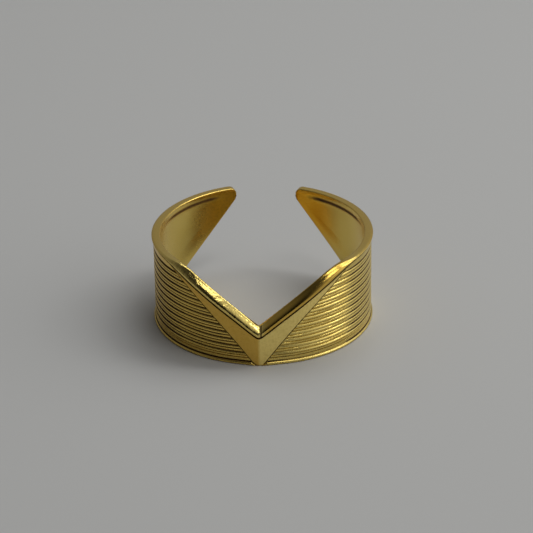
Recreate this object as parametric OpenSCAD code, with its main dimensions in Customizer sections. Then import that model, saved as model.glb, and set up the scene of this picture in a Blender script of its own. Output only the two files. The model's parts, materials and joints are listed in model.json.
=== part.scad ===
// Open chevron ring: one cast band, ribbed outside, whose rim dips to a V at the front.
// The ring stands on its lower edge with its axis on +Z and the V towards -Y, in millimetres.
// A turn angle of 0 is the front and grows towards both open ends. The two halves mirror each other.

/* [Band] */
// Inside diameter, where the finger goes
inside_d = 17.5; // [16.5:0.1:19.5]
// Thickness of the wall at its rim
wall_t = 0.75; // [0.7:0.01:0.9]
// Height from the lower edge to the rim
band_h = 7.9; // [7.7:0.05:8.4]
// Angle from the front to each open end
tip_angle = 162.9; // [158:0.1:165]
// Radius that rounds each open end, seen from the side
tip_r = 0.6; // [0.4:0.05:0.7]

/* [Chevron] */
// Height of the crest where the two arms of the V meet
crest_h = 3.5; // [3.3:0.02:3.8]
// Height of the bar along the V, measured upright at its point
bar_h = 0.8; // [0.7:0.02:1]
// How far the bar and the facets turn before they lie along the band
prow_angle = 14; // [10:0.5:16]
// Height of the thin outer face of the rim, past the bar
rim_h = 0.13; // [0.1:0.01:0.2]

/* [Ribs] */
// Number of deep grooves round the ribbed field
groove_count = 11; // [8:1:11]
// Height of the lowest deep groove
groove_first_z = 1.12; // [1.05:0.01:1.2]
// Distance between grooves
groove_pitch = 0.589; // [0.55:0.001:0.6]
// Depth of a groove
groove_depth = 0.13; // [0.05:0.01:0.2]
// Half the width of a groove at its mouth
groove_half_w = 0.1; // [0.06:0.01:0.14]

/* [Inside] */
// Depth of the shallow hollow on the inner face of each arm
hollow_depth = 0.15; // [0.05:0.01:0.2]
// Height of the plain land between the hollow and the rim
hollow_land = 0.7; // [0.5:0.05:1]

/* [Hidden] */
gold = [0.80, 0.66, 0.32];

inner_r = inside_d / 2;
rim_r = inner_r + wall_t;
field_r = rim_r - 0.14;
mean_r = inner_r + wall_t / 2;
// the rough casting reaches this far past the finger hole and the base, which are then cut true
stock = 0.25;
// points of a section closer than this are one
merge = 0.025;

// Each half bends softly from the slope of the V into the level rim over these heights
crest_blend = 0.5;
line_blend = 0.4;
// The facets stand proud of the field up to the angle where they taper to nothing
facet_proud = 0.06;
facet_end = 57;
facet_taper = 8;

// Crest, underside of the bar and lower edge of the facet over x, the sine of the turn angle:
// height at the point of the V, rise and bend
//                start             rise   bend
crest_curve = [crest_h,            7.60,  1.90];
line_curve  = [crest_h - bar_h,    7.45,  1.33];
facet_curve = [-0.33,              12.54, 3.42];

// Lower edge of each arm behind the widest point: its height where it lies arm_x from the middle plane,
// its slope there in the front view, and how the slope grows towards the open end
arm_x = 6.7;
arm_z = 1.95;
arm_slope = 1.05;
arm_bend = 0.042;

// The crease between the facets leans out: this share of the prow angle is left at the foot
prow_foot = 0.85;

// Foot bead along the lower edge: height above the edge, and depth behind the field's face
//            height  depth
bead_rows = [[0.00,  -0.02],
             [0.08,  -0.13],
             [0.22,  -0.13],
             [0.34,   0.09],
             [0.43,   0.00]];
bead_top = bead_rows[4][0];

// Bar from its underside to its top: share of its height, and depth behind its outermost line
//           share   depth
bar_rows = [[0.00,   0.08],
            [0.18,   0.00],
            [0.48,   0.00],
            [0.70,   0.10],
            [0.85,   0.25],
            [1.00,   0.45]];
// share of those depths that the thin rim keeps
rim_round = 0.3;
facet_step = 0.04;
seam_h = 0.16;
seam_depth = 0.1;
// the top slopes down to the inner edge over this width, and drops this much at the finger hole
top_round = 0.25;
rim_dip = 0.05;
bar_dip = 0.14;

// The hollow starts and ends over these turn angles
//               from  full  full  until
hollow_span = [  58,   70,   148,  157];
hollow_edge = 0.35;
hollow_slope = 0.16;
hollow_start = 0.04;

// steepness of the arm's lower edge where its round end takes over
tip_slope = 51;
tip_center = tip_angle - tip_r / mean_r * 180 / PI;
tip_z = band_h - tip_r;

function clamp01(v) = min(1, max(0, v));
function ease(v) = let (t = clamp01(v)) t * t * (3 - 2 * t);
function soft_min(a, b, k) = min(a, b) - pow(max(k - abs(a - b), 0), 2) / (4 * k);
function curve_z(c, x) = c[0] + c[1] * x - c[2] * x * x;
function curve_x(c, z) = (c[1] - sqrt(c[1] * c[1] - 4 * c[2] * (z - c[0]))) / (2 * c[2]);
function side_x(a) = sin(min(a, 90));

// Lower edge of the arm, which runs under the base until it leaves it, and the angle where it has a height
function arm_low(a) = let (d = arm_x - inner_r * sin(max(a, 90)))
    arm_z + arm_slope * d + arm_bend * d * abs(d);
function arm_angle(z) = let (u = z - arm_z,
                             d = sign(u) * (sqrt(arm_slope * arm_slope + 4 * arm_bend * abs(u)) - arm_slope)
                                 / (2 * arm_bend))
    180 - asin((arm_x - d) / inner_r);

// Round end of each arm: how far past the centre of its circle, and the half height left there
function tip_past(a) = max(0, (a - tip_center) * PI / 180 * mean_r);
function tip_half(a) = sqrt(max(0, tip_r * tip_r - pow(tip_past(a), 2)));
tip_touch = tip_r * sin(tip_slope);

function crest_z(a) = tip_past(a) > 0 ? tip_z + tip_half(a)
    : soft_min(curve_z(crest_curve, side_x(a)), band_h, crest_blend);
function bar_low_z(a) = crest_z(a) - room(a) * max(rim_h,
    crest_z(a) - soft_min(curve_z(line_curve, side_x(a)), band_h - rim_h, line_blend));
function low_z(a) = tip_past(a) > tip_touch ? tip_z - tip_half(a) : max(0, arm_low(a));
function under_z(a) = tip_past(a) > tip_touch ? low_z(a) : max(-stock, arm_low(a));
// what is left of the bead and the rim where the arm runs out
function room(a) = clamp01((crest_z(a) - low_z(a)) / 1.2);
function facet_top_z(a) = bar_low_z(a) - seam_h * room(a);
function facet_low_z(a) = min(facet_top_z(a), max(low_z(a), curve_z(facet_curve, side_x(a))));

// A flat face that touches the band at the prow angle stands this much further out in front of it
function prow(a, share) = 1 / cos(max(0, prow_angle * share - a));
function prow_share(z) = prow_foot + (1 - prow_foot) * clamp01(z / crest_h);
function field_out(a, z) = field_r * prow(a, prow_share(z));
function facet_out(a, z) = field_out(a, z) + facet_proud * ease((facet_end - a) / facet_taper);
function bar_out(a) = rim_r * prow(a, 1);

// Points of one upright section of the band, each [radius, height], from the lower inner edge
// up the outside, over the rim and down the inside
function field_rows(a) = let (lo = low_z(a), k = room(a), hi = facet_low_z(a)) concat(
    [for (row = bead_rows) row_at(a, lo + row[0] * k, row[1] * k, lo - merge, hi)],
    [for (n = [0 : groove_count - 1], side = [-1 : 1])
        row_at(a, groove_first_z + n * groove_pitch + side * groove_half_w,
               side == 0 ? groove_depth : 0, lo + bead_top * k, hi)]);
function row_at(a, z, depth, lo, hi) = z < lo + merge ? [field_out(a, lo), lo]
    : z > hi - merge ? [field_out(a, hi), hi]
    : [field_out(a, z) - depth, z];
function facet_rows(a) = let (lo = facet_low_z(a), hi = facet_top_z(a), step = min(facet_step, hi - lo)) [
    [field_out(a, lo), lo],
    [facet_out(a, lo), lo + step],
    [facet_out(a, hi), hi],
    [facet_out(a, hi) - seam_depth * room(a), hi + seam_h * 0.6 * room(a)]];
function bar_section(a) = let (lo = bar_low_z(a), h = crest_z(a) - lo,
                               deep = rim_round + (1 - rim_round) * clamp01(h / bar_h)) [
    for (row = bar_rows) [bar_out(a) - row[1] * deep, lo + row[0] * h]];
// The bar along the V is rounder on its inner edge than the rim
function top_dip(a) = rim_dip
    + (bar_dip - rim_dip) * clamp01((crest_z(a) - bar_low_z(a) - rim_h) / (bar_h - rim_h));
function hollow_share(a) = ease((a - hollow_span[0]) / (hollow_span[1] - hollow_span[0]))
    * ease((hollow_span[3] - a) / (hollow_span[3] - hollow_span[2]));
function inner_rows(a) = let (raw = inner_r - stock,
                              share = hollow_share(a),
                              deep = share > 0
                                  ? inner_r - hollow_start + (hollow_start + hollow_depth) * share : raw,
                              hi = crest_z(a) - hollow_land * room(a),
                              lo = min(hi, low_z(a) + hollow_edge * room(a)),
                              s = min(hollow_slope, (hi - lo) / 2)) [
    [inner_r + top_round, crest_z(a)],
    [raw, crest_z(a) - 2 * top_dip(a) * room(a)],
    [raw, hi],
    [deep, hi - s],
    [deep, lo + s],
    [raw, lo],
    [raw, under_z(a)]];
function section(a) = concat(
    [[field_out(a, low_z(a)) - bead_rows[0][1], under_z(a)]],
    field_rows(a), facet_rows(a), bar_section(a), inner_rows(a));

// Turn angles of the sections of one half. They lie where the facet's edge and the arm's edge
// cross the grooves, so that each groove ends cleanly on them.
// The rest of the turns are spread along the plain stretches, and the last ones round the open end.
side_turns = [53.5, facet_end, for (a = [62 : 5 : 107]) a];
end_turns = [for (turn = [0, 20, 38, 54, 66, 76]) tip_center + tip_r * sin(turn) / mean_r * 180 / PI];
rib_steps = [for (n = [0 : 2 * groove_count - 1]) groove_first_z + n * groove_pitch / 2];
half_turns = concat(
    [for (z = [0, 0.2, bead_top, (bead_top + groove_first_z) / 2]) asin(curve_x(facet_curve, z))],
    [for (z = rib_steps) asin(curve_x(facet_curve, z))],
    side_turns,
    [for (n = [0 : groove_count - 1], z = groove_first_z + n * groove_pitch - bead_top)
        if (arm_angle(z) > max(side_turns) + 2 && arm_angle(z) < tip_center - 1) arm_angle(z)],
    end_turns);
turns = concat([for (n = [len(half_turns) - 1 : -1 : 0]) -half_turns[n]], [0], half_turns);

module raw_casting() {
    sections = [for (a = turns) section(abs(a))];
    rows = len(sections[0]);
    last = len(turns) - 1;
    points = [for (i = [0 : last], p = sections[i]) [p[0] * sin(turns[i]), -p[0] * cos(turns[i]), p[1]]];
    // rows that run together share one point
    function point_of(i, j) = j > 0 && norm(sections[i][j] - sections[i][j - 1]) < merge
        ? point_of(i, j - 1) : i * rows + j;
    function whole(f) = [for (t = f) if (t[0] != t[1] && t[1] != t[2] && t[2] != t[0]) t];
    function quad(a, b, c, d) = whole([[a, b, c], [a, c, d]]);
    function ring_of(i) = [for (j = [0 : rows - 1]) if (point_of(i, j) == i * rows + j) i * rows + j];
    faces = [for (i = [0 : last - 1], j = [0 : rows - 1])
        let (k = (j + 1) % rows,
             a = point_of(i, j), b = point_of(i + 1, j), c = point_of(i + 1, k), d = point_of(i, k))
        each (turns[i] < 0 ? quad(d, c, b, a) : quad(a, d, c, b))];
    // the first end is seen from its other side, so its points run the other way round
    first_end = ring_of(0);
    first_cap = concat([first_end[0]], [for (n = [len(first_end) - 1 : -1 : 1]) first_end[n]]);
    polyhedron(points, concat(faces, [first_cap], [ring_of(last)]));
}

module chevron_band() {
    color(gold)
    difference() {
        raw_casting();
        // the finger hole
        translate([0, 0, -1]) cylinder(h = band_h + 2, r = inner_r, $fn = 160);
        // the surface that it stands on
        translate([-rim_r * 2, -rim_r * 2, -2]) cube([rim_r * 4, rim_r * 4, 2]);
    }
}

chevron_band();
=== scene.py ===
import json
from math import cos, pi, radians, sin, sqrt

import bmesh
import bpy
from mathutils import Matrix, Vector, noise


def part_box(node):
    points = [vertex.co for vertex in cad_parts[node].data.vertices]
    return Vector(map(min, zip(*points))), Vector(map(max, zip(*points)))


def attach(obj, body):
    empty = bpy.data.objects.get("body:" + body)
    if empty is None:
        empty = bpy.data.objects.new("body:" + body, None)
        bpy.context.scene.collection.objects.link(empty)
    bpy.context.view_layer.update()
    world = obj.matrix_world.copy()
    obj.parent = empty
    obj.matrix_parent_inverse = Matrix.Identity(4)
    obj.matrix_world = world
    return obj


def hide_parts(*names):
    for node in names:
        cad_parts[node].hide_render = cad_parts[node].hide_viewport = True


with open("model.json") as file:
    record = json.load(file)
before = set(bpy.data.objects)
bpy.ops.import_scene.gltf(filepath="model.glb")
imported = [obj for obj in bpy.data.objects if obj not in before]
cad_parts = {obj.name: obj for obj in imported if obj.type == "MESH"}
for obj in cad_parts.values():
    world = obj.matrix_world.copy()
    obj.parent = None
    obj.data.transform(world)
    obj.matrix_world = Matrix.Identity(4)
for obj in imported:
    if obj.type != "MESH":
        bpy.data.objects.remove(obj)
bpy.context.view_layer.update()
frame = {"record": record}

# Open chevron ring. Lengths are in millimetres until the mesh is made, and angles in degrees.
# A turn of 0 is the front, where the V is. Turns grow to the right and fall to the left, up to the
# open ends, and a is the size of a turn to either side.
mm = 0.001
nodeLow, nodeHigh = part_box("chevron_band")
finger = next(m for m in frame["record"]["mounts"] if m["name"] == "finger")

band = {
    "innerR": finger["dims"]["r_mm"],
    "rimR": (nodeHigh[0] - nodeLow[0]) / 2 / mm,
    "height": (nodeHigh[2] - nodeLow[2]) / mm,
    "roomFull": 1.2,       # where the band is lower than this, its rim, seam and foot shrink
    "corner": 0.05,        # corners of the lower edge
    "innerDark": 0.3,      # and how dark they are painted, as shade where the band meets the floor
    "outerDark": 0.6,
    "tipTurn": 162.9,      # the open ends
    "tipR": 0.6,           # their rounding, seen from the side
    "tipTouch": 51,        # steepness of the arm's edge where the rounding takes over
    "tipLast": 76,         # the rounding ends in a small flat here
    "tipThin": 0.12,       # and the wall thins by this much on each face
    "tipColumns": 12,      # steps round each end
    "fieldIn": 0.14,       # the ribbed field lies inside the rim
    "facetProud": 0.03,    # the facets stand off the field
    "facetEdge": 0.035,    # height of the step along their lower edge
    "facetRows": 9,
    "prowTurn": 14,        # the facets are flat up to this turn
    "prowFoot": 0.85,      # share of it left at the foot of the crease
    "creaseSoft": 0.7,
    "uneven": 0.012,
    "unevenTurn": 9,       # one wave of the unevenness round the band, and upward
    "unevenRise": 1.6,
    "columns": 510,        # steps round the band
    "merge": 0.003,        # points nearer than this become one
    "tiny": 0.002,         # edges shorter than this go
    "sharp": 50,
}
# height at the front, rise and bend over the sine of the turn; soft rounds the point of the V
crestCurve = {"start": 3.50, "rise": 7.60, "bend": 1.90, "soft": 0.5}
lineCurve = {"start": 2.70, "rise": 7.45, "bend": 1.33, "soft": 1.4}
facetCurve = {"start": -0.33, "rise": 12.54, "bend": 3.42, "soft": 0.2}
# lower edge of an arm: its height where it lies x from the middle plane, its slope and bend there
armEdge = {"x": 6.7, "z": 1.95, "slope": 1.05, "bend": 0.042}
rim = {
    "face": 0.13,          # thin outer face past the bar
    "barHeight": 0.8,      # the bar along the V
    "crestBlend": 0.5,     # the bar bends into the level rim over these heights
    "lineBlend": 0.4,
    "thinRound": 0.28,     # share of the bar's rounding that the thin face keeps
    "darkFall": 14,        # the bar's underside is painted dark as shade, and this steeply less so going up
    "crestIn": 0.05,       # the flat top starts this much further in than the last row of the bar
    "crestSteps": (0.0, 0.3, 0.7, 1.0),
    "innerRound": 0.10,    # rounding of the inner edge, seen from above, and what the bar adds
    "innerRoundBar": 0.03,
    "innerDip": 0.06,      # and its height
    "innerDipBar": 0.06,
    "roundSteps": (25, 50, 72, 90),
    "seam": 0.16,          # sunk seam below, wider at the sides, painted dark as the shadow under the bar
    "seamSides": 0.06,
    "seamDepth": 0.14,
    "line": 0.10,          # engraved line round the facet
    "lineDepth": 0.09,
    "lineRows": (0.75, 0.25),
    "lineFades": 0.2,      # it fades where the facet comes this near the lower edge
}
# seam, from its lower side: share of its height, share of its depth
seamRows = [(0.12, 0.7), (0.5, 1.0), (0.9, 1.0)]
# bar, from its underside: share of its height, depth behind its outermost line
barRows = [
    (0.00, 0.13), (0.05, 0.06), (0.11, 0.02), (0.18, 0.0), (0.28, 0.0), (0.37, 0.01),
    (0.45, 0.035), (0.53, 0.075), (0.60, 0.125), (0.66, 0.18), (0.715, 0.24), (0.765, 0.30),
    (0.81, 0.36), (0.85, 0.415), (0.89, 0.465), (0.93, 0.51), (0.97, 0.55),
]
# foot bead: height over the lower edge, how far it stands off the field, how dark it is painted: shade at
# the lower edge, dirt and painted shade in the groove above the bead
footRows = [
    (0.00, 0.02, 0.5), (0.04, 0.08, 0.2), (0.09, 0.12, 0.0), (0.15, 0.13, 0.0), (0.21, 0.12, 0.0),
    (0.255, 0.08, 0.0), (0.28, -0.04, 1.0), (0.33, -0.10, 1.0), (0.385, -0.05, 0.9), (0.42, 0.0, 0.0),
]
footTop = footRows[-1][0]
ribs = {
    "count": 11,
    "first": 1.12,         # height of the lowest deep groove
    "pitch": 0.589,
    "depth": 0.15,
    "half": 0.12,
    "wallCurve": 1.6,      # a groove's walls are hollow by this power
    "wallSteps": (0, 0.3, 0.6, 0.85, 1.1),
    "crownStep": 0.33,     # share of the pitch
    "crown": 0.009,
    "fineDepth": 0.09,     # fine line along the middle of a rib
    "fineHalf": 0.06,
    "lowLines": (0.66, 0.89),  # heights of two fine lines under the lowest groove
    "lowHalf": 0.05,
    "lowDeeper": 1.3,
    "lowDark": 0.6,
    "shallow": 0.62,       # share of the depth beside the facets
    "waver": 0.02,         # the grooves are cut by hand, so their height and depth waver
    "waverWave": (14, 3.7, 1.3),  # length of a wave in degrees, and where its draw is taken
    "cut": 0.25,
    "cutWave": (6, 5.1, 7.7),
    "worn": 0.68,          # groove darkness taken off in the middle of the right side: painted light where that side is lit
    "dirtFull": 1.3,       # over 1, so that the bottom of a groove is dark all over
    "dirt": 0.42,          # how far dirt and painted shade reach up a groove's walls, as a share of half its width
    "dirtLeft": 0.55,      # and this much further at the left side, the side in shade, and at the right side
    "dirtRight": 0.3,
}
# one side of the bar ends in a small knob at the point of the V, with the crease beside it painted dark as
# shade
knob = {"turn": 1.1, "width": 0.7, "depth": 0.08, "dark": 0.8}
# hollow inside each arm; foot holds rows below it, how far out they are and how high
hollow = {
    "depth": 0.18,
    "land": 0.34,          # plain land above it and below it
    "edge": 0.3,
    "topSlope": 0.65,
    "edgeSlope": 2.0,
    "rows": 22,
    "gather": 0.6,         # the rows are closer together at the top and at the bottom
    # how dark the painted shade streak along the hollow's upper slope is
    "dark": 0.54,
    "foot": ((0.0, 0.08), (0.015, 0.03)),
}
# how brown the plating is, and how dark inside the left end; the browning of the left ribs, left facet and
# right bar is painted shade, that inside the ends painted reflection of gold on gold, the dark inside the
# left end painted shade, and the rim browns towards the sides
tarnishAndPaintedLight = {"ribs": 0.35, "facet": 0.7, "bar": 0.6, "rim": 0.35, "ends": 0.95, "leftEnd": 0.24}
# polish, and how much of it the bar lacks on its right side and the rim on its left
shine = {"bar": 1.0, "lessRight": 0.25, "lessLeft": 0.25, "innerEdge": 0.9, "facet": 0.25,
         "inside": 0.35, "insideFoot": 0.5}
# turns between which something comes in: absent at the first and full at the second
zones = {
    # the same on either side
    "facet": (57, 48),
    "wideSeam": (30, 50),
    "deepGrooves": (10, 45),
    "spreadDirt": (36, 60),
    "brownRim": (40, 80),
    "brownEnds": (128, 153),
    "hollow": (60, 100),
    "hollowEnds": (160, 146),
    "streak": (100, 118),
    # on one side
    "brownRibs": (8, -8),
    "brownFacet": (0.5, -0.5),
    "brownBar": (1, 5),
    "brownBarEnds": (60, 45),
    "dullRight": (-0.5, 0.5),
    "dullLeft": (-50, -58),
    "wornRibs": (-5, 15),
    "wornRibsEnd": (62, 48),
    "darkLeftEnd": (-126, -148),
}

fieldR = band["rimR"] - band["fieldIn"]
meanR = (band["innerR"] + band["rimR"]) / 2
tipMid = band["tipTurn"] - band["tipR"] / meanR * 180 / pi
tipZ = band["height"] - band["tipR"]


def clamp(v):
    return min(1.0, max(0.0, v))


def ease(v):
    t = clamp(v)
    return t * t * (3 - 2 * t)


def zone(name, turn):
    start, end = zones[name]
    return ease((turn - start) / (end - start))


def softMin(a, b, k):
    return min(a, b) - max(k - abs(a - b), 0) ** 2 / (4 * k)


def softTurn(a, k):
    return sqrt(a * a + k * k) - k


def curveHeight(c, a):
    x = sin(radians(min(softTurn(a, c["soft"]), 90)))
    return c["start"] + c["rise"] * x - c["bend"] * x * x


def armLow(a):
    d = armEdge["x"] - band["innerR"] * sin(radians(max(a, 90)))
    return armEdge["z"] + armEdge["slope"] * d + armEdge["bend"] * d * abs(d)


# the main heights at a turn: crest, underside of the bar, lower edge, top and bottom of the facet;
# then the share of full size that the rim, seam and foot have, and how far past the last straight
# part of the arm the turn is
def bandLines(a):
    past = max(0.0, radians(a - tipMid) * meanR)
    half = sqrt(max(0.0, band["tipR"] ** 2 - past * past))
    crest = softMin(curveHeight(crestCurve, a), band["height"], rim["crestBlend"])
    if past > 0:
        crest = tipZ + half
    rounded = past > band["tipR"] * sin(radians(band["tipTouch"]))
    edge = tipZ - half if rounded else max(0.0, armLow(a))
    room = clamp((crest - edge) / band["roomFull"])
    bar = softMin(curveHeight(lineCurve, a), band["height"] - rim["face"], rim["lineBlend"])
    barLow = crest - room * max(rim["face"], crest - bar)
    seam = (rim["seam"] + rim["seamSides"] * zone("wideSeam", a)) * room
    facetTop = barLow - seam
    facetLow = min(facetTop, max(edge, curveHeight(facetCurve, a)))
    return crest, barLow, edge, facetTop, facetLow, room, past


# how much further out a flat facet stands than the band that it touches at the prow's turn
def prow(a, share):
    return 1 / cos(radians(max(0.0, band["prowTurn"] * share - softTurn(a, band["creaseSoft"]))))


# the crease between the facets leans out
def prowShare(z):
    return band["prowFoot"] + (1 - band["prowFoot"]) * clamp(z / crestCurve["start"])


# rows from a deep groove up to the middle of the rib above it:
# distance from the groove, its depth, depth of the fine line and crown, darkness of the fine line
def ribRows():
    half, pitch = ribs["half"], ribs["pitch"]
    steps = [half * share for share in ribs["wallSteps"]]
    steps += [pitch * ribs["crownStep"], pitch / 2 - ribs["fineHalf"], pitch / 2]
    rows = []
    for t in steps:
        groove = ribs["depth"] * max(0.0, 1 - t / half) ** ribs["wallCurve"]
        fineShare = max(0.0, 1 - (pitch / 2 - t) / ribs["fineHalf"])
        crown = ribs["crown"]
        if t > half:
            crown *= (abs(t - pitch / 4) / (pitch / 4)) ** 2
        rows.append((t, groove, ribs["fineDepth"] * fineShare + crown, fineShare))
    return rows


ribProfile = ribRows()


# an uneven wave along a groove
def drift(turn, groove, wave):
    length, step, draw = wave
    return noise.noise(Vector((turn / length, groove * step, draw)))


# shares from 0 to 1 whose steps are closer together at both ends
def gathered(t):
    near = min(t, 1 - t)
    share = near * near * (1 + hollow["gather"] - hollow["gather"] * near)
    return share if t < 0.5 else 1 - share


# what each point of a section holds after its radius and height, kept as attributes of the mesh
# sunk marks darkening: dirt, and painted shade in the seam, under the bar, at the corners, in the streak
# and at the left end; brown holds tarnish, painted shade and painted reflection
maskNames = ("sunk", "polish", "facetFace", "inside", "brown")


# one upright section of the band, from the inner lower corner up the outside and down the inside
class Section:
    def __init__(self, turn):
        self.turn, self.a = turn, abs(turn)
        self.points = []
        lines = bandLines(self.a)
        self.crest, self.barLow, self.edge, self.facetTop, self.facetLow, self.room, past = lines
        self.thin = band["tipThin"] * (past / band["tipR"]) ** 3
        self.facetShare = zone("facet", self.a)
        self.lineShare = self.facetShare * clamp((self.facetLow - self.edge) / rim["lineFades"])
        self.top = self.facetLow - rim["line"] * self.lineShare
        # the left ribs are browned as painted shade
        self.ribBrown = tarnishAndPaintedLight["ribs"] * zone("brownRibs", turn)
        # groove and foot darkness is lifted in the middle of the right side, as painted light where that
        # side is lit
        self.worn = 1 - ribs["worn"] * zone("wornRibs", turn) * zone("wornRibsEnd", turn)
        self.foot()
        self.grooves()
        self.facet()
        self.bar()
        self.innerWall()

    def add(self, radius, height, dark=0.0, polish=0.0, facet=0.0, inside=0.0, brown=0.0):
        self.points.append((radius, height, dark, polish, facet, inside, brown))

    def addOuter(self, depth, height, dark=0.0, polish=0.0, facet=0.0, brown=None):
        radius = fieldR * prow(self.a, prowShare(height)) - depth - self.thin
        self.add(radius, height, dark, polish, facet, 0.0, self.ribBrown if brown is None else brown)

    # a point of the ribbed field; past the field it becomes a plain point at the field's end
    def addField(self, height, depth, dark):
        low = self.edge + footTop * self.room
        if low < height < self.top:
            self.addOuter(depth, height, dark)
        else:
            self.addOuter(0, min(max(height, low), self.top))

    # the lower corners are painted dark as shade where the band meets the floor
    def lowerCorner(self):
        self.add(band["innerR"] + band["corner"], self.edge, band["innerDark"])

    def foot(self):
        self.lowerCorner()
        self.addOuter(band["corner"], self.edge, band["outerDark"])
        # the foot is painted darker: shade at the lower edge, dirt and painted shade in the groove above
        # the bead
        for h, proud, dark in footRows:
            z = min(self.edge + h * self.room, self.top)
            if z < self.top:
                self.addOuter(-proud * self.room, z, dark * self.worn)
            else:
                self.addOuter(0, z)

    # deep grooves, deeper at the sides than beside the facets, with dirt and painted shade that reach
    # further up there
    def grooves(self):
        for z in ribs["lowLines"]:
            self.addField(z - ribs["lowHalf"], 0.0, 0.0)
            self.addField(z, ribs["fineDepth"] * ribs["lowDeeper"], ribs["lowDark"])
            self.addField(z + ribs["lowHalf"], 0.0, 0.0)
        deep = ribs["shallow"] + (1 - ribs["shallow"]) * zone("deepGrooves", self.a)
        further = ribs["dirtRight"] if self.turn > 0 else ribs["dirtLeft"]
        spread = ribs["half"] * (ribs["dirt"] + further * zone("spreadDirt", self.a))
        for n in range(ribs["count"]):
            waver = drift(self.turn, n, ribs["waverWave"])
            z = ribs["first"] + n * ribs["pitch"] + ribs["waver"] * waver
            cut = clamp(deep + ribs["cut"] * drift(self.turn, n, ribs["cutWave"]))
            # the lowest groove has no fine line below it
            highest = None if n else len(ribs["wallSteps"])
            rows = [(-1, row) for row in ribProfile[highest:0:-1]] + [(1, row) for row in ribProfile[:-1]]
            for side, (t, groove, fine, fineDark) in rows:
                dark = max(clamp(ribs["dirtFull"] - t / spread), fineDark)
                self.addField(z + side * t, groove * cut + fine, dark * self.worn)

    # engraved line, facet and seam
    def facet(self):
        for t in rim["lineRows"]:
            z = self.facetLow - rim["line"] * t * self.lineShare
            self.addOuter(rim["lineDepth"] * self.lineShare, z, self.lineShare)
        proud = band["facetProud"] * self.facetShare
        # the left facet is browned as painted shade, which marks the crease
        brown = tarnishAndPaintedLight["facet"] * zone("brownFacet", self.turn)
        for k in range(band["facetRows"] + 1):
            z = self.facetLow + (self.facetTop - self.facetLow) * k / band["facetRows"]
            if k == 0:
                z = min(self.facetLow + band["facetEdge"] * self.facetShare, self.facetTop)
            z = max(z, self.points[-1][1])
            self.addOuter(-proud, z, 0.0, shine["facet"], self.facetShare, brown)
        # the seam is painted fully dark: painted shadow under the overhanging bar
        for t, depth in seamRows:
            z = self.facetTop + (self.barLow - self.facetTop) * t
            self.addOuter(rim["seamDepth"] * depth * self.room, z, 1.0)

    # bar, running out into the thin face of the rim, then the flat top and the rounded inner edge
    def bar(self):
        height = self.crest - self.barLow
        thick = clamp((height - rim["face"]) / (rim["barHeight"] - rim["face"]))
        crease = max(0.0, 1 - abs(self.turn - knob["turn"]) / knob["width"])
        barOut = band["rimR"] * prow(self.a, 1) - knob["depth"] * crease
        roundness = rim["thinRound"] + (1 - rim["thinRound"]) * thick
        gloss = shine["bar"] - shine["lessRight"] * zone("dullRight", self.turn)
        gloss -= shine["lessLeft"] * zone("dullLeft", self.turn)
        # the right bar is browned as painted shade; the rim browns towards the sides
        brown = tarnishAndPaintedLight["bar"] * zone("brownBar", self.turn) * zone("brownBarEnds", self.turn)
        brown += tarnishAndPaintedLight["rim"] * zone("brownRim", self.a)
        for share, depth in barRows:
            # painted shade under the bar and in the crease beside the knob
            dark = max(0, 1 - share * rim["darkFall"], knob["dark"] * crease)
            radius = barOut - depth * roundness - self.thin
            self.add(radius, self.barLow + share * height, dark, gloss, brown=brown)
        outer = barOut - (barRows[-1][1] + rim["crestIn"]) * roundness - self.thin
        roundW = rim["innerRound"] + rim["innerRoundBar"] * thick
        dip = (rim["innerDip"] + rim["innerDipBar"] * thick) * self.room
        inner = band["innerR"] + roundW + self.thin
        for t in rim["crestSteps"]:
            self.add(outer + (inner - outer) * t, self.crest, 0.0, gloss, brown=brown)
        for t in rim["roundSteps"]:
            z = self.crest - dip * (1 - cos(radians(t)))
            self.add(inner - roundW * sin(radians(t)), z, 0.0, gloss * shine["innerEdge"], brown=brown)

    # inner wall with the hollow of the arm, and a streak of painted shade along the hollow's upper slope
    def innerWall(self):
        share = zone("hollow", self.a) * zone("hollowEnds", self.a)
        hi = self.crest - hollow["land"] * self.room
        lo = min(hi, self.edge + hollow["edge"] * self.room)
        wall = band["innerR"] + self.thin
        # the inside near the ends is browned as a painted reflection of gold on gold
        endBrown = tarnishAndPaintedLight["ends"] * zone("brownEnds", self.a)
        # the inside of the left end is darkened as painted shade
        endDark = tarnishAndPaintedLight["leftEnd"] * zone("darkLeftEnd", self.turn)
        for k in range(hollow["rows"] + 1):
            z = hi + (lo - hi) * gathered(k / hollow["rows"])
            below = ease((hi - z) / hollow["topSlope"])
            sunk = below * ease((z - lo) / hollow["edgeSlope"])
            streak = share * sqrt(4 * below * (1 - below)) * zone("streak", self.a)
            dark = max(hollow["dark"] * streak, endDark)
            radius = wall + hollow["depth"] * share * sunk
            self.add(radius, z, dark, shine["inside"], 0.0, 1.0, max(endBrown, streak))
        for out, h in hollow["foot"]:
            self.add(wall + out, self.edge + h * self.room, 0.0, shine["insideFoot"], 0.0, 1.0, endBrown)
        self.lowerCorner()


# turns of the columns: even steps, then finer ones round each open end
def bandTurns():
    half, last = band["columns"] // 2, band["tipColumns"]
    reach = band["tipR"] / meanR * 180 / pi
    tips = [tipMid + sin(radians(band["tipLast"] * k / last)) * reach for k in range(1, last + 1)]
    right = [tipMid * k / half for k in range(half + 1)] + tips
    return [-t for t in reversed(right[1:])] + right


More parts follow.
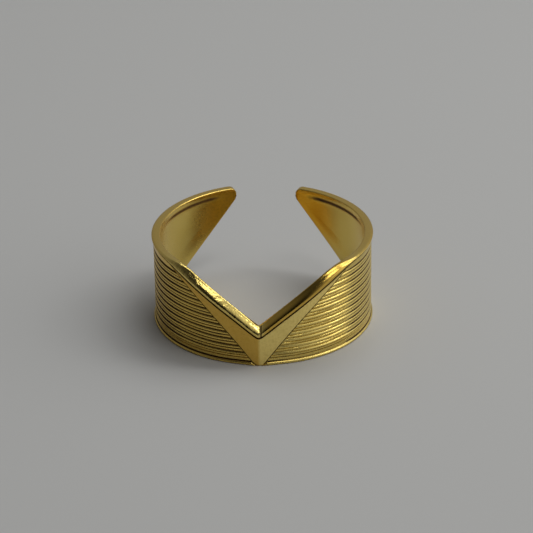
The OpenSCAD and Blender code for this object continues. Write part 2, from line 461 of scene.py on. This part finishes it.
def makeBand():
    turns = bandTurns()
    sections = [Section(t).points for t in turns]
    across, around = len(sections[0]), len(turns)
    insidePlace = maskNames.index("inside")
    bm = bmesh.new()
    masks = [bm.verts.layers.float.new(name) for name in maskNames]
    bmesh.ops.create_grid(bm, x_segments=around - 1, y_segments=across - 1, size=0.5)
    for v in bm.verts:
        i = round((v.co.x + 0.5) * (around - 1))
        j = round((v.co.y + 0.5) * (across - 1))
        radius, z, *values = sections[i][j]
        a = radians(turns[i])
        # a cast surface is never quite even, and it stays inside the CAD's
        wave = Vector((turns[i] / band["unevenTurn"], z / band["unevenRise"], radius))
        uneven = band["uneven"] * (1 + noise.noise(wave)) / 2
        radius += uneven if values[insidePlace] else -uneven
        v.co = Vector((sin(a) * radius, -cos(a) * radius, z)) * mm
        for layer, value in zip(masks, values):
            v[layer] = value
    bmesh.ops.remove_doubles(bm, verts=bm.verts, dist=band["merge"] * mm)
    bmesh.ops.dissolve_degenerate(bm, edges=bm.edges, dist=band["tiny"] * mm)
    ends = [e for e in bm.edges if e.is_boundary]
    caps = bmesh.ops.holes_fill(bm, edges=ends, sides=0)["faces"]
    bmesh.ops.triangulate(bm, faces=caps)
    bmesh.ops.recalc_face_normals(bm, faces=bm.faces)
    for f in bm.faces:
        f.smooth = True
    print("band:", len(bm.verts), "points,", sum(len(f.verts) - 2 for f in bm.faces), "triangles,",
          len([e for e in bm.edges if not e.is_manifold]), "open edges")
    mesh = bpy.data.meshes.new("chevronBand")
    bm.to_mesh(mesh)
    bm.free()
    mesh.set_sharp_from_angle(angle=radians(band["sharp"]))
    piece = bpy.data.objects.new("chevronBand", mesh)
    bpy.context.collection.objects.link(piece)
    return piece


# a socket whose sums, products and powers add Math nodes
class Wire:
    def __init__(self, paint, socket):
        self.paint = paint
        self.socket = socket

    def work(self, operation, first, second):
        return self.paint.node("ShaderNodeMath", {"operation": operation}, {0: first, 1: second})

    def __add__(self, other):
        return self.work("ADD", self, other)

    def __radd__(self, other):
        return self.work("ADD", other, self)

    def __sub__(self, other):
        return self.work("SUBTRACT", self, other)

    def __rsub__(self, other):
        return self.work("SUBTRACT", other, self)

    def __mul__(self, other):
        return self.work("MULTIPLY", self, other)

    def __pow__(self, other):
        return self.work("POWER", self, other)


# a node tree to which node() adds nodes of any kind
class Nodes:
    def __init__(self, tree):
        self.tree = tree

    def node(self, kind, settings=None, values=None, output=0):
        n = self.tree.nodes.new(kind)
        for key, value in (settings or {}).items():
            setattr(n, key, value)
        for key, value in (values or {}).items():
            self.put(n.inputs[key], value)
        return Wire(self, n.outputs[output])

    def put(self, socket, value):
        if isinstance(value, Wire):
            self.tree.links.new(value.socket, socket)
        else:
            socket.default_value = value


# a material with a Principled shader
class Paint(Nodes):
    def __init__(self, name):
        self.material = bpy.data.materials.new(name)
        self.material.use_nodes = True
        super().__init__(self.material.node_tree)
        self.shader = self.tree.nodes["Principled BSDF"]

    def set(self, **values):
        for key, value in values.items():
            self.put(self.shader.inputs[key.replace("_", " ")], value)

    def mask(self, name):
        return self.node("ShaderNodeAttribute", {"attribute_name": name}, output="Fac")

    def mixColour(self, factor, first, second):
        return self.node("ShaderNodeMix", {"data_type": "RGBA"}, {0: factor, 6: first, 7: second}, output=2)

    def cloud(self, place, size, detail, rough=0.5):
        values = {"Vector": place, "Scale": 1 / size, "Detail": detail, "Roughness": rough}
        return self.node("ShaderNodeTexNoise", {}, values)

    def stretch(self, place, scale):
        return self.node("ShaderNodeVectorMath", {"operation": "MULTIPLY"}, {0: place, 1: scale})


gold = {
    "bright": (0.84, 0.67, 0.23, 1),
    "warm": (0.78, 0.56, 0.12, 1),
    "satin": (1.0, 0.79, 0.27, 1),
    "brown": (0.70, 0.385, 0.03, 1),
    # colour of dirt and painted shade
    "sunk": (0.06, 0.02, 0.003, 1),
    "patch": 2.2,          # size of the patches of thinner and thicker plating
    "speck": 0.22,
    "warmPatch": 0.5,      # how much warmer they make the colour, and the inside of the band
    "warmSpeck": 0.3,
    "warmInside": 0.3,
    "mottle": 1.8,         # how far the satin covers a facet between its specks
    "dirtSpeck": 0.2,      # specks make the edge of the dirt and painted shade uneven
    "dirtFrom": 0.1,       # it starts and covers all at these values of the sunk mask
    "dirtTo": 0.6,
    "dirtGloss": 0.2,
    "facetRough": 0.48,    # satin facets
    "ribRough": 0.27,
    "polished": 0.15,
    "roughUneven": 0.10,
    "sunkRough": 0.2,
    "dirtRough": 0.3,
    "lines": (0.8, 0.8, 22),  # polishing lines run round the band: long sideways and fine upward
    "lineHeight": 0.004,
    "grain": 0.13,
    "ribGrain": 0.003,     # height of the grain on the ribs, and what the facets add
    "facetGrain": 0.042,
    "wrinkle": 0.32,
    "dent": 0.12,          # height of the wrinkles where the polish is full, before dentFrom is taken off
    "dentFrom": 0.085,
    "dentLeast": 0.002,
}


def goldPlate():
    p = Paint("goldPlate")
    place = p.stretch(p.node("ShaderNodeTexCoord", output="Object"), (1 / mm, 1 / mm, 1 / mm))
    sunk, polish = p.mask("sunk"), p.mask("polish")
    facet, inside = p.mask("facetFace"), p.mask("inside")
    patches = p.cloud(place, gold["patch"], 3)
    specks = p.cloud(place, gold["speck"], 2)
    warmth = patches * gold["warmPatch"] + specks * gold["warmSpeck"] + inside * gold["warmInside"]
    colour = p.mixColour(warmth, gold["bright"], gold["warm"])
    colour = p.mixColour(facet * (gold["mottle"] - specks * gold["mottle"]), colour, gold["satin"])
    colour = p.mixColour(p.mask("brown"), colour, gold["brown"])
    # the dirt and painted shade in the grooves, the seam, under the bar and at the corners isn't metal
    soiledAndShaded = sunk + specks * gold["dirtSpeck"] - gold["dirtSpeck"] / 2
    reach = {0: soiledAndShaded, 1: gold["dirtFrom"], 2: gold["dirtTo"]}
    dirt = p.node("ShaderNodeMapRange", {"interpolation_type": "SMOOTHSTEP"}, reach)
    colour = p.mixColour(dirt, colour, gold["sunk"])
    rough = gold["ribRough"] - polish * (gold["ribRough"] - gold["polished"])
    rough = rough + facet * (gold["facetRough"] - gold["ribRough"])
    rough = rough + (patches - 0.5) * gold["roughUneven"] + (specks - 0.5) * gold["roughUneven"]
    rough = rough + sunk * gold["sunkRough"] + dirt * gold["dirtRough"]
    lines = p.cloud(p.stretch(place, gold["lines"]), 1.0, 3, 0.6)
    grain = p.cloud(place, gold["grain"], 2, 0.6)
    # the left side of the bar, where the polish is full, is wrinkled from the casting
    wrinkle = p.cloud(place, gold["wrinkle"], 2, 0.55)
    dents = {0: polish * gold["dent"] - gold["dentFrom"], 1: gold["dentLeast"]}
    dented = p.node("ShaderNodeMath", {"operation": "MAXIMUM"}, dents)
    height = lines * gold["lineHeight"] + grain * (facet * gold["facetGrain"] + gold["ribGrain"])
    height = height + wrinkle * dented
    bump = p.node("ShaderNodeBump", {}, {"Strength": 1.0, "Distance": mm, "Height": height})
    p.set(Base_Color=colour, Metallic=1 - dirt, Roughness=rough, Normal=bump)
    p.set(Specular_IOR_Level=gold["dirtGloss"])
    return p.material


floor = {"half": 0.35, "colour": (0.60, 0.60, 0.585, 1), "rough": 0.75}    # half its side in metres


def makeFloor():
    bm = bmesh.new()
    bmesh.ops.create_grid(bm, x_segments=1, y_segments=1, size=floor["half"])
    mesh = bpy.data.meshes.new("floor")
    bm.to_mesh(mesh)
    bm.free()
    piece = bpy.data.objects.new("floor", mesh)
    bpy.context.collection.objects.link(piece)
    p = Paint("paleFloor")
    p.set(Base_Color=floor["colour"], Roughness=floor["rough"])
    mesh.materials.append(p.material)


# a long lens, a little above the ring; distance, right and up are in rim radii, focal in pixels
view = {"elevation": 27.27, "turn": 2.5, "roll": -0.895, "distance": 23.816, "right": 0.0338,
        "up": 0.4140, "focal": 2600, "frame": 533, "sensor": 36, "near": 0.005}


def makeCamera():
    e, turn, roll = (radians(view[k]) for k in ("elevation", "turn", "roll"))
    about = Matrix.Rotation(turn, 3, "Z")
    right = about @ Vector((1, 0, 0))
    up = about @ Vector((0, sin(e), cos(e)))
    back = about @ Vector((0, -cos(e), sin(e)))
    place = (right * view["right"] + up * view["up"] + back * view["distance"]) * band["rimR"] * mm
    x = right * cos(roll) + up * sin(roll)
    y = up * cos(roll) - right * sin(roll)
    lens = bpy.data.cameras.new("camera")
    lens.sensor_width = view["sensor"]
    lens.lens = view["focal"] / view["frame"] * view["sensor"]
    lens.clip_start = view["near"]
    camera = bpy.data.objects.new("camera", lens)
    camera.matrix_world = Matrix.Translation(place) @ Matrix((x, y, back)).transposed().to_4x4()
    bpy.context.collection.objects.link(camera)
    bpy.context.scene.camera = camera


# soft boxes: turn from the front towards the right, elevation, then distance, width and height in
# metres, and brightness
lights = {
    "key": (155, 62, 0.30, 0.18, 0.18, 1.65),
    "strip": (100, 52, 0.30, 0.05, 0.14, 4.2),
    "top": (45, 70, 0.30, 0.11, 0.09, 2.5),
}
# soft sides of the room: turn, elevation, brightness; a side falls off with this power
sky = {"sides": [(90, 20, 1.1), (180, 20, 0.28), (270, 20, 0.18)], "power": 3}


def direction(turn, rise):
    a, e = radians(turn), radians(rise)
    return Vector((sin(a) * cos(e), -cos(a) * cos(e), sin(e)))


def makeLights():
    for name, (turn, rise, far, width, height, bright) in lights.items():
        toward = direction(turn, rise)
        lamp = bpy.data.lights.new(name, "AREA")
        lamp.shape = "RECTANGLE"
        lamp.size, lamp.size_y = width, height
        lamp.energy = bright * pi * width * height
        box = bpy.data.objects.new(name, lamp)
        turned = toward.to_track_quat("Z", "Y").to_matrix().to_4x4()
        box.matrix_world = Matrix.Translation(toward * far) @ turned
        bpy.context.collection.objects.link(box)


def makeRoom():
    world = bpy.data.worlds.new("studio")
    world.use_nodes = True
    room = Nodes(world.node_tree)
    toward = room.node("ShaderNodeTexCoord", output="Generated")
    shade = 0
    for turn, rise, bright in sky["sides"]:
        dot = {0: toward, 1: direction(turn, rise)}
        along = room.node("ShaderNodeVectorMath", {"operation": "DOT_PRODUCT"}, dot, output="Value")
        facing = room.node("ShaderNodeMath", {"operation": "MAXIMUM"}, {0: along, 1: 0.0})
        shade = shade + facing ** sky["power"] * bright
    room.put(world.node_tree.nodes["Background"].inputs["Color"], shade)
    bpy.context.scene.world = world
    bpy.context.scene.view_settings.view_transform = "Standard"


makeCamera()
makeLights()
makeRoom()
makeFloor()
print("stage: done")
piece = makeBand()
piece.data.materials.append(goldPlate())
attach(piece, "root")
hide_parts("chevron_band")
print("ring: done")
